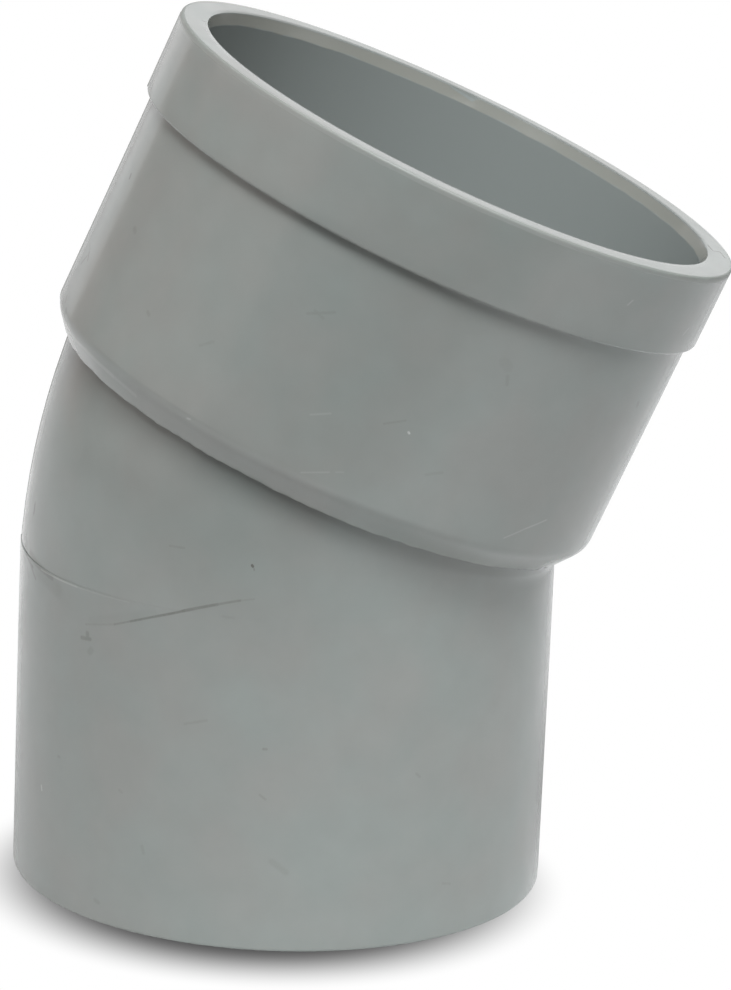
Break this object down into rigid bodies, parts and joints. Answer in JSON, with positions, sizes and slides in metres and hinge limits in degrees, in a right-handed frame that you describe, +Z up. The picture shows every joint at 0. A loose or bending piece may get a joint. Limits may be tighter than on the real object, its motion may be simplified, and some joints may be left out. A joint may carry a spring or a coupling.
{
  "type": "pipe bend fitting",
  "caption": "Shallow solvent-weld PVC pipe bend: a plain spigot, a short curved middle and a socket with a collar round its mouth.",
  "frame": {"origin": "on the plane that the spigot's end stands on, under the middle of the whole fitting's box", "axes": "+Z up along the spigot's axis, +X the way the socket leans, +Y across the bend; the fitting is symmetric about the XZ plane"},
  "size_m": [0.0972, 0.0836, 0.122],
  "materials": {
    "spigot_pvc": "semi-gloss moulded, fine scratches",
    "bend_pvc": "semi-gloss moulded",
    "socket_pvc": "semi-gloss moulded, paler and more matt on the rim face"
  },
  "bodies": {
    "root": {"spigot": "spigot_pvc", "bend": "bend_pvc", "socket": "socket_pvc"}
  },
  "joints": []
}
